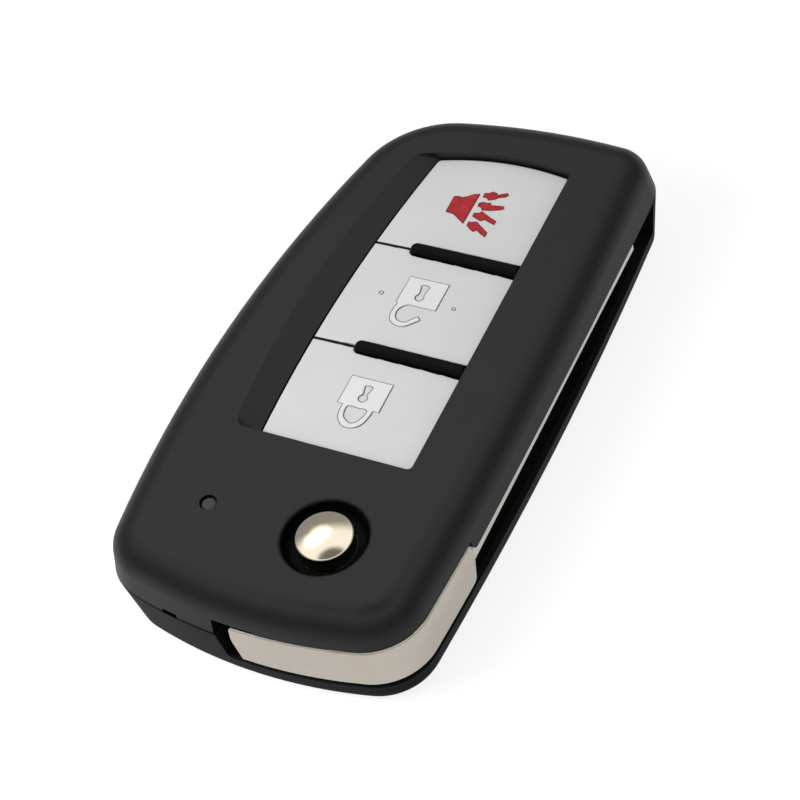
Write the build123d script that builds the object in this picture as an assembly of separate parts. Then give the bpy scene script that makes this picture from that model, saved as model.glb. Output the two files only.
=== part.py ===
"""Folding car key with a three-button remote in its case.

Frame: millimetres. The closed case lies on its back at z = 0, centred on X and Y.
+Z points up through the buttons, +Y towards the key-ring end, +X towards the stored blade.
"""
import math
import os

from build123d import *

# Case outline at the seam: four shallow arcs joined by corner rounds
CASE_HALF_WIDTH = 19.28
CASE_HALF_LENGTH = 35.94
RIGHT_ARC_RADIUS, RIGHT_ARC_Y = 528.0, 2.9
LEFT_ARC_RADIUS, LEFT_ARC_Y = 147.0, -9.8
NEAR_ARC_RADIUS, NEAR_ARC_X = 56.8, 0.4
FAR_ARC_RADIUS, FAR_ARC_X = 75.0, 8.6
NEAR_LEFT_ROUND = 5.9
NEAR_RIGHT_ROUND = 7.3
FAR_LEFT_ROUND = 12.1
FAR_RIGHT_ROUND = 4.5

# Case heights, drafts and walls
CASE_HEIGHT = 14.0
SEAM_Z = 8.5
SEAM_GAP = 0.1
FRONT_DRAFT = 10.85
BASE_DRAFT = 7.2
SHOULDER_RADIUS = 3.35
BASE_EDGE_RADIUS = 1.8
SIDE_WALL = 1.6
LOWER_WALL = 2.35
TOP_WALL = 1.7
FLOOR = 1.5
INNER_ROUND = 1.8
ROUND_MARGIN = 0.1
TONGUE_WALL = 0.7
TONGUE_HEIGHT = 0.9
TONGUE_ROOT = 0.6
TONGUE_GAP = 0.08
TONGUE_END_GAP = 3.0
SEAM_STEP = 1.2

# Release button and the bowl it sits in
BUTTON_X = CASE_HALF_WIDTH - 13.68
BUTTON_Y = 11.29 - CASE_HALF_LENGTH
BUTTON_RADIUS = 3.07
BUTTON_GAP = 0.08
BUTTON_RIM_Z = CASE_HEIGHT + 0.25
BUTTON_CROWN = 0.4
BUTTON_EDGE_ROUND = 0.2
BUTTON_BOTTOM_Z = CASE_HEIGHT - TOP_WALL
BUTTON_TRAVEL = 1.4
BOWL_RADIUS = 4.55
BOWL_DEPTH = 1.6
BOWL_FOOT_ROUND = 0.9
BOWL_LIP = 0.35
HOUSING_WALL = 2.4

# Folding head and the opening it turns in
HINGE_X = CASE_HALF_WIDTH - 11.38
HINGE_Y = BUTTON_Y
HEAD_OPENING_TOP_Z = SEAM_Z + 1.8
HEAD_TOP_Z = HEAD_OPENING_TOP_Z - 0.25
RIM_Z = SEAM_Z - 5.35
HEAD_BOTTOM_Z = RIM_Z + 0.65
HEAD_LEFT_X = HINGE_X - 8.9
HEAD_LEFT_DROP = 6.9
HEAD_END_Y = HINGE_Y + 5.95
HEAD_CHEEK = 0.85
HEAD_INSET = 0.02
HUB_RADIUS = 8.0
HEAD_BORE_RADIUS = 4.2
HEAD_EDGE_ROUND = 0.25
HEAD_HEEL_ROUND = 0.9
HEAD_CREASE_ROUND = 5.0
HEAD_WEB = 0.75
HEAD_FLOOR_Z = HEAD_BOTTOM_Z + HEAD_WEB
JOURNAL_CLEARANCE = 0.06
LOWER_PIN_RADIUS = 2.6
LOWER_PIN_END_GAP = 0.1
BOSS_RADIUS = 6.5
BOSS_GAP = 0.1
OPENING_LEFT_X = HEAD_LEFT_X - 2.0
OPENING_CORNER = 0.8
OPENING_END_Y = HEAD_END_Y + 0.2
OPENING_STEP_X = HEAD_LEFT_X + 2.9
OPENING_STEP = 0.25
OPENING_ROUND = 0.7

# Circle that the head's far corner needs round the hinge
SWEEP_CLEARANCE = 0.4
HEAD_CORNER_BOW = NEAR_ARC_RADIUS - math.sqrt(NEAR_ARC_RADIUS**2 - (HEAD_LEFT_X - NEAR_ARC_X)**2)
HEAD_CORNER_DROP = HINGE_Y + CASE_HALF_LENGTH - HEAD_CORNER_BOW
SWEEP_RADIUS = math.hypot(HINGE_X - HEAD_LEFT_X, HEAD_CORNER_DROP) + SWEEP_CLEARANCE

# Blade slot and key-ring eye
SLOT_END_Y = CASE_HALF_LENGTH - 4.64
SLOT_RIM_WALL = 1.5
SLOT_FLOOR_Z = RIM_Z - 0.75
SLOT_EYE_WALL = 1.0
SLOT_ARCH_RADIUS, SLOT_ARCH_Y = 440.0, 1.4
SLOT_ARCH_RISE = 0.9
EYE_RADIUS = 2.2
EYE_X = CASE_HALF_WIDTH - 5.88
EYE_Y = SLOT_END_Y - EYE_RADIUS - 0.4

# Blade
BLADE_OUTER_X = CASE_HALF_WIDTH - 1.2
BLADE_WIDTH = 8.0
BLADE_INNER_X = BLADE_OUTER_X - BLADE_WIDTH
BLADE_BOTTOM_Z = SEAM_Z - 2.3
BLADE_THICKNESS = 2.1
BLADE_TIP_Y = EYE_Y - EYE_RADIUS - 0.2
BLADE_TIP_ROUND = 0.6
BLADE_OUTER_BEVEL = 0.5
BLADE_INNER_BEVEL = 2.6
BLADE_EDGE_ROUND = 0.25
TANG_WIDTH = 4.4
TANG_STEP = 0.85
TANG_RIGHT_X = BLADE_OUTER_X - TANG_STEP
TANG_LEFT_X = TANG_RIGHT_X - TANG_WIDTH
TANG_LENGTH = 7.5
TANG_FIT = 0.05
BLADE_SHOULDER_Y = HEAD_END_Y - 1.4
GROOVE_DEPTH = 0.7
GROOVE_WIDTH = 1.9
GROOVE_SPACING = 3.1
GROOVE_START_Y = HEAD_END_Y + 7.7
PIN_RADIUS = 0.8
PIN_WALL = 0.4
PIN_SLIT = 0.24
PIN_END_GAP = 0.1
PIN_X = (TANG_LEFT_X + TANG_RIGHT_X) / 2
PIN_Y = BLADE_SHOULDER_Y - 4.1
CHANNEL_WALL = 0.7
CHANNEL_ROOM = 0.65
CHANNEL_X = BLADE_INNER_X - CHANNEL_ROOM
CHANNEL_WALL_X = CHANNEL_X - CHANNEL_WALL

# Release plunger and its spring
PLUNGER_RADIUS = 2.3
PLUNGER_GAP = 0.06
PLUNGER_END_GAP = 0.1
PLUNGER_BOTTOM_Z = HEAD_FLOOR_Z + BUTTON_TRAVEL + PLUNGER_END_GAP
COLLAR_BOTTOM_Z = HEAD_OPENING_TOP_Z - 1.0
FLANGE_RADIUS = 3.6
FLANGE_THICKNESS = 0.35
FLANGE_GAP = 0.1
SPRING_RADIUS = 3.35
SPRING_WIRE = 0.5
SPRING_TURNS = 3.0

# Button window and its sloping left side
WINDOW_RIGHT_X = CASE_HALF_WIDTH - 8.78
WINDOW_NEAR_Y = 21.54 - CASE_HALF_LENGTH
WINDOW_FAR_RADIUS = 36.0
WINDOW_FAR_X = WINDOW_RIGHT_X - 5.5
WINDOW_FAR_Y = CASE_HALF_LENGTH - 7.04
WINDOW_LEFT_RADIUS, WINDOW_LEFT_Y = 170.0, -2.0
WINDOW_LEFT_X = 11.18 - CASE_HALF_WIDTH
CREASE_RADIUS, CREASE_Y = 105.0, 0.0
CREASE_X = WINDOW_LEFT_X - 3.1
WINDOW_FOOT_Z = CASE_HEIGHT - 1.15
WINDOW_CORNER = 0.6
CREASE_CORNER = 1.3
SKIRT_WALL = 0.8
SKIRT_OFFSET = 0.75

# Key caps
KEY_GAP = 0.2
KEY_SPLIT = 0.32
NEAR_KEY_LENGTH = 13.95
MIDDLE_KEY_LENGTH = 14.4
KEY_SPLITS_Y = (WINDOW_NEAR_Y + NEAR_KEY_LENGTH, WINDOW_NEAR_Y + NEAR_KEY_LENGTH + MIDDLE_KEY_LENGTH)
KEY_ENDS_Y = (WINDOW_NEAR_Y, *KEY_SPLITS_Y, WINDOW_FAR_Y)
KEY_TOP_Z = CASE_HEIGHT - 0.85
KEY_CROWN_RADIUS = 190.0
KEY_EDGE_ROUND = 0.2
KEY_FLANGE_BOTTOM_Z = CASE_HEIGHT - 2.5
KEY_FLANGE_THICKNESS = 0.5
KEY_FLANGE_REACH = 0.45
KEY_TRAVEL = 0.3
KEY_POST_RADIUS = 1.4
KEY_POST_X = (WINDOW_LEFT_X + WINDOW_RIGHT_X) / 2
KEY_POST_YS = tuple((low + high) / 2 for low, high in zip(KEY_ENDS_Y, KEY_ENDS_Y[1:]))

# Silicone mat with the two raised dividers, and the frame under it
MAT_BOTTOM_Z = CASE_HEIGHT - 3.3
MAT_THICKNESS = 0.4
MAT_REACH = SKIRT_OFFSET + 0.55
DIVIDER_LEFT_X = WINDOW_LEFT_X + 5.4
DIVIDER_WIDTH = 1.4
DIVIDER_TOP_Z = CASE_HEIGHT - 0.25
DIVIDER_ROUND = 0.45
DIVIDER_GAP = 0.15
POST_CLEARANCE = 0.3
FRAME_BOTTOM_Z = MAT_BOTTOM_Z - 1.4
FRAME_LEG = 1.6
FRAME_LEGS_X = (WINDOW_LEFT_X + 2.1, CHANNEL_WALL_X - 1.3)

# Coin cell, its ring and its contacts
CELL_RADIUS = 10.0
CELL_THICKNESS = 3.2
CELL_EDGE_ROUND = 0.4
CELL_CAP_STEP = 0.3
CELL_CAP_INSET = 1.0
CELL_Y = 11.0
CELL_SIDE_BOW = (CELL_Y - LEFT_ARC_Y)**2 / (2 * LEFT_ARC_RADIUS)
CELL_X = (CHANNEL_WALL_X - CASE_HALF_WIDTH + LOWER_WALL + CELL_SIDE_BOW) / 2
CELL_RING_GAP = 0.25
CELL_RING_WALL = 0.8
CELL_RING_HEIGHT = 2.2
CELL_RING_CUT = 5.0
CONTACT_THICKNESS = 0.25
CONTACT_WIDTH = 3.0
CONTACT_FOOT_YS = (CELL_Y - 5.0, CELL_Y - 2.0)
CONTACT_PAD_YS = (CELL_Y + 2.6, CELL_Y + 4.4)
CLIP_WIDTH = 3.8
CLIP_REACH = 2.2
CLIP_LIFT = 0.6

# Circuit board and its switches
BOARD_BOTTOM_Z = FLOOR + CELL_THICKNESS + 1.5
BOARD_THICKNESS = 0.8
BOARD_WALL_GAP = 0.5
BOARD_SWEEP_GAP = 0.4
BOARD_HOLE_RADIUS = 0.55
CHIP_Z = BOARD_BOTTOM_Z + BOARD_THICKNESS
CHIP_RIGHT_X = WINDOW_LEFT_X - MAT_REACH - 0.3
SWITCH_SIZE = 4.4
SWITCH_HEIGHT = 1.5
SWITCH_CORNER = 0.4
SWITCH_FLOOR = 0.25
STEM_RADIUS = 1.2
STEM_GAP = 0.08
STEM_REACH = 0.4
STEM_END_GAP = 0.05
STEM_TOP_Z = CHIP_Z + SWITCH_HEIGHT + STEM_REACH
STEM_BOTTOM_Z = CHIP_Z + SWITCH_FLOOR + KEY_TRAVEL + STEM_END_GAP
POST_RADIUS = 1.1
POST_STEP = 0.3
POST_FIT = 0.2
BOARD_POSTS = (
    (5.08 - CASE_HALF_WIDTH, 8.94 - CASE_HALF_LENGTH),
    (5.28 - CASE_HALF_WIDTH, -4.0),
    (10.08 - CASE_HALF_WIDTH, CASE_HALF_LENGTH - 7.74),
    (CASE_HALF_WIDTH - 13.88, CASE_HALF_LENGTH - 4.34),
)

# Indicator lamp and its light pipe
LED_X = HINGE_X - SWEEP_RADIUS - 1.3
LED_Y = 11.54 - CASE_HALF_LENGTH
LED_HOLE_RADIUS = 0.95
LED_WIDTH = 1.2
LED_LENGTH = 2.0
LED_LENS_LENGTH = 1.2
LED_HEIGHT = 0.8
PIPE_RADIUS = 0.72
PIPE_FIT = 0.03
PIPE_END_GAP = 0.05
PIPE_FLANGE_RADIUS = 1.3
PIPE_FLANGE_THICKNESS = 0.8
PIPE_TUBE_WALL = 0.7
PIPE_TOP_Z = CASE_HEIGHT - 0.3
PIPE_LEDGE = 0.4

# Transponder
TRANSPONDER_WIDTH, TRANSPONDER_LENGTH, TRANSPONDER_HEIGHT = 6.0, 12.0, 3.0
TRANSPONDER_X = LOWER_WALL + 1.33 + TRANSPONDER_WIDTH / 2 - CASE_HALF_WIDTH
TRANSPONDER_Y = 17.44 - CASE_HALF_LENGTH
TRANSPONDER_CORNER = 0.5
FENCE_GAP = 0.1
FENCE_WALL = 0.8
FENCE_HEIGHT = 1.6

# Pry nick at the near end
NICK_X = -8.5
NICK_WIDTH = 1.8
NICK_HEIGHT = 0.45
NICK_DEPTH = 1.5

# How far joined shapes run into each other, how far cuts run past, and a far limit
EMBED = 0.2
OVERCUT = 1.0
FAR_AWAY = 60.0


def circle_crossing(centre_a, radius_a, centre_b, radius_b, near):
    """Crossing of two circles that lies nearest to a point."""
    apart = centre_b - centre_a
    along = (radius_a**2 - radius_b**2 + apart.length**2) / (2 * apart.length)
    across = math.sqrt(radius_a**2 - along**2)
    foot = centre_a + apart.normalized() * along
    sideways = Vector(-apart.Y, apart.X).normalized() * across
    return min((foot + sideways, foot - sideways), key=lambda point: (point - near).length)


def case_outline(inset=0.0):
    """Plan outline of the case, moved inwards by inset."""
    near = (Vector(NEAR_ARC_X, NEAR_ARC_RADIUS - CASE_HALF_LENGTH), NEAR_ARC_RADIUS)
    right = (Vector(CASE_HALF_WIDTH - RIGHT_ARC_RADIUS, RIGHT_ARC_Y), RIGHT_ARC_RADIUS)
    far = (Vector(FAR_ARC_X, CASE_HALF_LENGTH - FAR_ARC_RADIUS), FAR_ARC_RADIUS)
    left = (Vector(LEFT_ARC_RADIUS - CASE_HALF_WIDTH, LEFT_ARC_Y), LEFT_ARC_RADIUS)
    corners = (
        (near, right, NEAR_RIGHT_ROUND, Vector(CASE_HALF_WIDTH, -CASE_HALF_LENGTH)),
        (right, far, FAR_RIGHT_ROUND, Vector(CASE_HALF_WIDTH, CASE_HALF_LENGTH)),
        (far, left, FAR_LEFT_ROUND, Vector(-CASE_HALF_WIDTH, CASE_HALF_LENGTH)),
        (left, near, NEAR_LEFT_ROUND, Vector(-CASE_HALF_WIDTH, -CASE_HALF_LENGTH)),
    )
    rounds = []
    for (centre_a, radius_a), (centre_b, radius_b), corner, near_point in corners:
        middle = circle_crossing(centre_a, radius_a - corner, centre_b, radius_b - corner, near_point)
        out_a = (middle - centre_a).normalized()
        out_b = (middle - centre_b).normalized()
        start = centre_a + out_a * (radius_a - inset)
        bulge = middle + (out_a + out_b).normalized() * (corner - inset)
        end = centre_b + out_b * (radius_b - inset)
        rounds.append((start, bulge, end, centre_b, radius_b - inset))
    edges = []
    for index, (start, bulge, end, centre, radius) in enumerate(rounds):
        following = rounds[(index + 1) % len(rounds)][0]
        bow = ((end - centre).normalized() + (following - centre).normalized()).normalized()
        edges.append(ThreePointArc(start, bulge, end))
        edges.append(ThreePointArc(end, centre + bow * radius, following))
    return make_face(edges)


def slab(sketch, low, high):
    """Sketch extruded between two heights."""
    return extrude(Pos(0, 0, low) * sketch, amount=high - low)


def block(low_x, high_x, low_y, high_y, low_z, high_z):
    """Box between two corners."""
    size = (high_x - low_x, high_y - low_y, high_z - low_z)
    return Pos((low_x + high_x) / 2, (low_y + high_y) / 2, (low_z + high_z) / 2) * Box(*size)


def rod(x, y, radius, low, high):
    """Upright cylinder."""
    return Pos(x, y, (low + high) / 2) * Cylinder(radius, high - low)


def edges_at(solid, height):
    """Edges that lie in one horizontal plane."""
    return solid.edges().filter_by(lambda edge: abs(edge.bounding_box().min.Z - height) < 1e-4
                                   and abs(edge.bounding_box().max.Z - height) < 1e-4)


def one_solid(shape):
    """Largest solid of a shape, without the compound around it."""
    return max(shape.solids(), key=lambda solid: solid.volume)


def left_arc(radius, x, y, low_y, high_y):
    """Arc that bulges to -X with its apex at x, y."""
    def at(height):
        return Vector(x + radius - math.sqrt(radius**2 - (height - y)**2), height)
    return at(low_y), at((low_y + high_y) / 2), at(high_y)


def window_face(radius, left_x, left_y, inset=0.0, corner=0.0, left_corner=0.0):
    """Window outline with a curved left side, moved inwards by inset."""
    far_centre = Vector(WINDOW_FAR_X, WINDOW_FAR_Y - WINDOW_FAR_RADIUS)
    far_radius = WINDOW_FAR_RADIUS - inset
    side_centre = Vector(left_x + radius, left_y)
    near_y = WINDOW_NEAR_Y + inset
    right_x = WINDOW_RIGHT_X - inset
    far_right = Vector(right_x, far_centre.Y + math.sqrt(far_radius**2 - (right_x - far_centre.X)**2))
    far_left = circle_crossing(far_centre, far_radius, side_centre, radius - inset, Vector(left_x, WINDOW_FAR_Y))
    far_bow = far_centre + Vector((far_left.X + far_right.X) / 2 - far_centre.X, far_radius).normalized() * far_radius
    low, middle, high = left_arc(radius - inset, left_x + inset, left_y, near_y, far_left.Y)
    edges = [
        Line(low, (right_x, near_y)),
        Line((right_x, near_y), far_right),
        ThreePointArc(far_right, far_bow, far_left),
        ThreePointArc(far_left, middle, low),
    ]
    face = make_face(edges)
    if corner:
        face = fillet(face.vertices().sort_by(Axis.X)[2:], corner)
        face = fillet(face.vertices().sort_by(Axis.X)[:2], left_corner or corner)
    return face


def foot_face(inset=0.0, corner=0.0):
    """Window outline at the keys' level."""
    return window_face(WINDOW_LEFT_RADIUS, WINDOW_LEFT_X, WINDOW_LEFT_Y, inset, corner)


def divider_outline(split_y, grow=0.0):
    """Divider seen from above: round left end, square right end at the window wall."""
    half = DIVIDER_WIDTH / 2 + grow
    right = WINDOW_RIGHT_X - KEY_GAP + grow
    left = DIVIDER_LEFT_X + DIVIDER_WIDTH / 2
    bar = Pos((left + right) / 2, split_y) * Rectangle(right - left, 2 * half)
    return bar + Pos(left, split_y) * Circle(half)


def upper_wall_lean(height):
    """How far the drafted upper side has moved in, some height above the seam."""
    return height * math.tan(math.radians(FRONT_DRAFT))


def front_outer():
    """Outside of the upper shell: drafted sides and a wide shoulder round."""
    rise = CASE_HEIGHT - SEAM_Z
    body = extrude(Pos(0, 0, SEAM_Z) * case_outline(), amount=rise, taper=FRONT_DRAFT)
    limit = FAR_RIGHT_ROUND - upper_wall_lean(rise) - ROUND_MARGIN
    return fillet(edges_at(body, CASE_HEIGHT), min(SHOULDER_RADIUS, limit))


def front_cavity():
    """Hollow inside of the upper shell."""
    ceiling = CASE_HEIGHT - TOP_WALL
    body = extrude(Pos(0, 0, SEAM_Z) * case_outline(SIDE_WALL), amount=ceiling - SEAM_Z, taper=FRONT_DRAFT)
    limit = FAR_RIGHT_ROUND - SIDE_WALL - upper_wall_lean(ceiling - SEAM_Z) - ROUND_MARGIN
    body = fillet(edges_at(body, ceiling), min(INNER_ROUND, limit))
    return body + slab(case_outline(SIDE_WALL), SEAM_Z - OVERCUT, SEAM_Z)


def window_cut():
    """Window with its sloping left side."""
    crease = window_face(CREASE_RADIUS, CREASE_X, CREASE_Y, corner=WINDOW_CORNER, left_corner=CREASE_CORNER)
    foot = foot_face(corner=WINDOW_CORNER)
    slope = loft([Pos(0, 0, WINDOW_FOOT_Z) * foot, Pos(0, 0, CASE_HEIGHT) * crease], ruled=True)
    return slope + slab(foot, SEAM_Z, WINDOW_FOOT_Z)


def bowl_cut():
    """Round bowl with a soft lip around the release button, and the button's hole."""
    hole = BUTTON_RADIUS + BUTTON_GAP
    floor = CASE_HEIGHT - BOWL_DEPTH
    foot = BOWL_RADIUS - BOWL_FOOT_ROUND
    foot_top = floor + BOWL_FOOT_ROUND
    lip = BOWL_RADIUS + BOWL_LIP
    lip_low = CASE_HEIGHT - BOWL_LIP
    diagonal = math.sqrt(0.5)
    foot_middle = (foot + BOWL_FOOT_ROUND * diagonal, foot_top - BOWL_FOOT_ROUND * diagonal)
    lip_middle = (lip - BOWL_LIP * diagonal, lip_low + BOWL_LIP * diagonal)
    profile = make_face([
        Line((0, floor), (foot, floor)),
        ThreePointArc((foot, floor), foot_middle, (BOWL_RADIUS, foot_top)),
        Line((BOWL_RADIUS, foot_top), (BOWL_RADIUS, lip_low)),
        ThreePointArc((BOWL_RADIUS, lip_low), lip_middle, (lip, CASE_HEIGHT)),
        Line((lip, CASE_HEIGHT), (lip, CASE_HEIGHT + OVERCUT)),
        Line((lip, CASE_HEIGHT + OVERCUT), (0, CASE_HEIGHT + OVERCUT)),
        Line((0, CASE_HEIGHT + OVERCUT), (0, floor)),
    ])
    bowl = revolve(Plane.XZ * profile, Axis.Z)
    return Pos(BUTTON_X, BUTTON_Y, 0) * bowl + rod(BUTTON_X, BUTTON_Y, hole, HEAD_OPENING_TOP_Z, CASE_HEIGHT)


def front_shell():
    """Upper shell with window, bowl, light hole and the fittings under its top."""
    ceiling = CASE_HEIGHT - TOP_WALL
    shell = front_outer() - front_cavity()
    shell -= front_opening() + slot_arch()
    inside = front_outer() - slab(case_outline(SIDE_WALL), 0, SEAM_Z)
    housing_radius = BUTTON_RADIUS + BUTTON_GAP + HOUSING_WALL
    housing = rod(BUTTON_X, BUTTON_Y, housing_radius, HEAD_OPENING_TOP_Z, ceiling + EMBED)
    skirt = slab(foot_face(-SKIRT_OFFSET - SKIRT_WALL) - foot_face(-SKIRT_OFFSET),
                 MAT_BOTTOM_Z + MAT_THICKNESS, ceiling + EMBED)
    shell += (housing + skirt) & inside
    collar_radius = HEAD_BORE_RADIUS - JOURNAL_CLEARANCE
    shell += rod(HINGE_X, HINGE_Y, collar_radius, COLLAR_BOTTOM_Z, ceiling + EMBED)
    shell -= rod(HINGE_X, HINGE_Y, PLUNGER_RADIUS + PLUNGER_GAP, COLLAR_BOTTOM_Z - OVERCUT, BUTTON_BOTTOM_Z)
    shell -= bowl_cut()
    shell -= window_cut()
    shell += light_tube() & inside
    shell -= rod(LED_X, LED_Y, LED_HOLE_RADIUS, PIPE_TOP_Z - PIPE_LEDGE, CASE_HEIGHT + OVERCUT)
    shell -= rod(LED_X, LED_Y, PIPE_RADIUS + PIPE_FIT, CHIP_Z, CASE_HEIGHT)
    for x, y in BOARD_POSTS:
        shell += rod(x, y, POST_RADIUS, CHIP_Z, ceiling + EMBED)
    shell -= tongue(TONGUE_GAP)
    shell -= block(NICK_X - NICK_WIDTH / 2, NICK_X + NICK_WIDTH / 2, -FAR_AWAY, NICK_DEPTH - CASE_HALF_LENGTH,
                   SEAM_Z - OVERCUT, SEAM_Z + NICK_HEIGHT)
    return one_solid(shell)


def arch_height(y):
    """Height of the upper shell's arched edge over the blade slot."""
    drop = SLOT_ARCH_RADIUS - math.sqrt(SLOT_ARCH_RADIUS**2 - (y - SLOT_ARCH_Y)**2)
    return SEAM_Z + SLOT_ARCH_RISE - drop


def slot_arch():
    """Shallow arch in the upper shell's edge over the blade slot."""
    centre_z = SEAM_Z + SLOT_ARCH_RISE - SLOT_ARCH_RADIUS
    disc = Pos(0, SLOT_ARCH_Y, centre_z) * Rot(0, 90, 0) * Cylinder(SLOT_ARCH_RADIUS, 2 * FAR_AWAY)
    return disc & block(CHANNEL_WALL_X, FAR_AWAY, OPENING_END_Y, SLOT_END_Y, SEAM_Z - OVERCUT, CASE_HEIGHT)


def front_opening():
    """Opening in the upper shell for the folding head, rounded where the blade slot starts."""
    opening = block(OPENING_LEFT_X, FAR_AWAY, -FAR_AWAY, OPENING_END_Y, SEAM_Z - OVERCUT, HEAD_OPENING_TOP_Z)
    opening += block(OPENING_LEFT_X, OPENING_STEP_X, -FAR_AWAY, HINGE_Y, SEAM_Z, HEAD_OPENING_TOP_Z + OPENING_STEP)
    corner_y = OPENING_END_Y + OPENING_ROUND
    corner_z = arch_height(OPENING_END_Y) + OPENING_ROUND
    corner = block(CHANNEL_WALL_X, FAR_AWAY, OPENING_END_Y, corner_y, SEAM_Z - OVERCUT, corner_z)
    corner -= Pos(0, corner_y, corner_z) * Rot(0, 90, 0) * Cylinder(OPENING_ROUND, 2 * FAR_AWAY)
    return opening + corner


def light_tube():
    """Tube under the top that holds the light pipe."""
    low = CHIP_Z + LED_HEIGHT + 2 * PIPE_END_GAP + PIPE_FLANGE_THICKNESS
    return rod(LED_X, LED_Y, PIPE_RADIUS + PIPE_TUBE_WALL, low, CASE_HEIGHT - TOP_WALL + EMBED)


def tongue(grow=0.0):
    """Locating tongue of the lower shell along the closed left and far walls."""
    outer = case_outline(SIDE_WALL - TONGUE_WALL - grow)
    inner = case_outline(SIDE_WALL + (EMBED + grow if grow else 0.0))
    ring = slab(outer - inner, SEAM_Z - TONGUE_ROOT, SEAM_Z + TONGUE_HEIGHT + grow)
    left = block(-FAR_AWAY, OPENING_LEFT_X - TONGUE_END_GAP + grow, -FAR_AWAY, FAR_AWAY, 0, CASE_HEIGHT)
    far = block(-FAR_AWAY, CHANNEL_WALL_X + grow, 0, FAR_AWAY, 0, CASE_HEIGHT)
    return ring & (left + far)


def back_outer():
    """Outside of the lower shell."""
    top = SEAM_Z - SEAM_GAP
    body = extrude(Pos(0, 0, SEAM_Z) * case_outline(), amount=SEAM_Z, dir=(0, 0, -1), taper=BASE_DRAFT)
    body = fillet(edges_at(body, 0.0), BASE_EDGE_RADIUS)
    return body - slab(Rectangle(2 * FAR_AWAY, 2 * FAR_AWAY), top, SEAM_Z + OVERCUT)


def head_opening():
    """Opening in the lower shell for the folding head, with a rounded lower left corner."""
    profile = make_face(Polyline((OPENING_LEFT_X, FAR_AWAY), (OPENING_LEFT_X, RIM_Z), (FAR_AWAY, RIM_Z),
                                 (FAR_AWAY, FAR_AWAY), close=True))
    corner = profile.vertices().sort_by(lambda point: point.X + point.Y)[0]
    return extrude(Pos(0, OPENING_END_Y, 0) * (Plane.XZ * fillet(corner, OPENING_CORNER)), amount=FAR_AWAY)


def blade_channel():
    """Slot in the lower shell that the stored blade lies in, with a deeper floor up to the eye."""
    side = block(CHANNEL_X, FAR_AWAY, OPENING_END_Y, SLOT_END_Y, RIM_Z, SEAM_Z + OVERCUT)
    deep = block(CHANNEL_X, FAR_AWAY, OPENING_END_Y, EYE_Y - EYE_RADIUS - SLOT_EYE_WALL, SLOT_FLOOR_Z, RIM_Z)
    return side + (deep & slab(case_outline(SLOT_RIM_WALL), SLOT_FLOOR_Z, RIM_Z))


def cell_ring():
    """Ring on the floor round the coin cell, cut through for its contacts."""
    inner = CELL_RADIUS + CELL_RING_GAP
    ring = rod(CELL_X, CELL_Y, inner + CELL_RING_WALL, FLOOR - EMBED, FLOOR + CELL_RING_HEIGHT)
    ring -= rod(CELL_X, CELL_Y, inner, 0, SEAM_Z)
    half = CELL_RING_CUT / 2
    ring -= block(CELL_X - half, CELL_X + half, -FAR_AWAY, FAR_AWAY, FLOOR, SEAM_Z)
    ring -= block(CELL_X, FAR_AWAY, CELL_Y - half, CELL_Y + half, FLOOR, SEAM_Z)
    return ring & slab(case_outline(SIDE_WALL), 0, SEAM_Z)


def back_shell():
    """Lower shell with hinge boss, blade channel, cell ring, board posts and key-ring eye."""
    hollow = slab(case_outline(LOWER_WALL), FLOOR, SEAM_Z + OVERCUT)
    channel_zone = block(CHANNEL_WALL_X, FAR_AWAY, OPENING_END_Y, FAR_AWAY, 0, SEAM_Z)
    shell = back_outer() - (hollow - channel_zone)
    sweep = rod(HINGE_X, HINGE_Y, SWEEP_RADIUS, RIM_Z, SEAM_Z + OVERCUT)
    upper = slab(case_outline(SIDE_WALL), RIM_Z, SEAM_Z + OVERCUT)
    step = slab(Rectangle(2 * FAR_AWAY, 2 * FAR_AWAY), SEAM_Z - SEAM_STEP, SEAM_Z + OVERCUT) - channel_zone
    shell -= upper & (sweep + step)
    shell -= head_opening()
    shell -= blade_channel()
    fittings = rod(HINGE_X, HINGE_Y, BOSS_RADIUS, FLOOR - EMBED, HEAD_BOTTOM_Z - BOSS_GAP)
    fittings += rod(HINGE_X, HINGE_Y, LOWER_PIN_RADIUS, FLOOR, HEAD_FLOOR_Z - LOWER_PIN_END_GAP)
    fittings += cell_ring() + transponder_fence()
    for x, y in BOARD_POSTS:
        fittings += rod(x, y, POST_RADIUS + POST_STEP, FLOOR - EMBED, BOARD_BOTTOM_Z)
    shell += fittings
    shell += tongue()
    shell -= rod(EYE_X, EYE_Y, EYE_RADIUS, -OVERCUT, SEAM_Z)
    return one_solid(shell)


def transponder_fence():
    """Low walls on the floor that hold the transponder."""
    outer = 2 * (FENCE_GAP + FENCE_WALL)
    ring = Rectangle(TRANSPONDER_WIDTH + outer, TRANSPONDER_LENGTH + outer)
    ring -= Rectangle(TRANSPONDER_WIDTH + 2 * FENCE_GAP, TRANSPONDER_LENGTH + 2 * FENCE_GAP)
    return Pos(TRANSPONDER_X, TRANSPONDER_Y, 0) * slab(ring, FLOOR - EMBED, FLOOR + FENCE_HEIGHT)


def head_plan():
    """Plan of the folding head: its corner of the case, and the hub inside."""
    end_left = BLADE_INNER_X - HEAD_CHEEK
    corner = make_face(Polyline((HEAD_LEFT_X, -FAR_AWAY), (FAR_AWAY, -FAR_AWAY), (FAR_AWAY, HEAD_END_Y),
                                (end_left, HEAD_END_Y), (HINGE_X, HINGE_Y),
                                (HEAD_LEFT_X, HINGE_Y - HEAD_LEFT_DROP), close=True))
    return corner + Pos(HINGE_X, HINGE_Y) * Circle(HUB_RADIUS)


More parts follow.
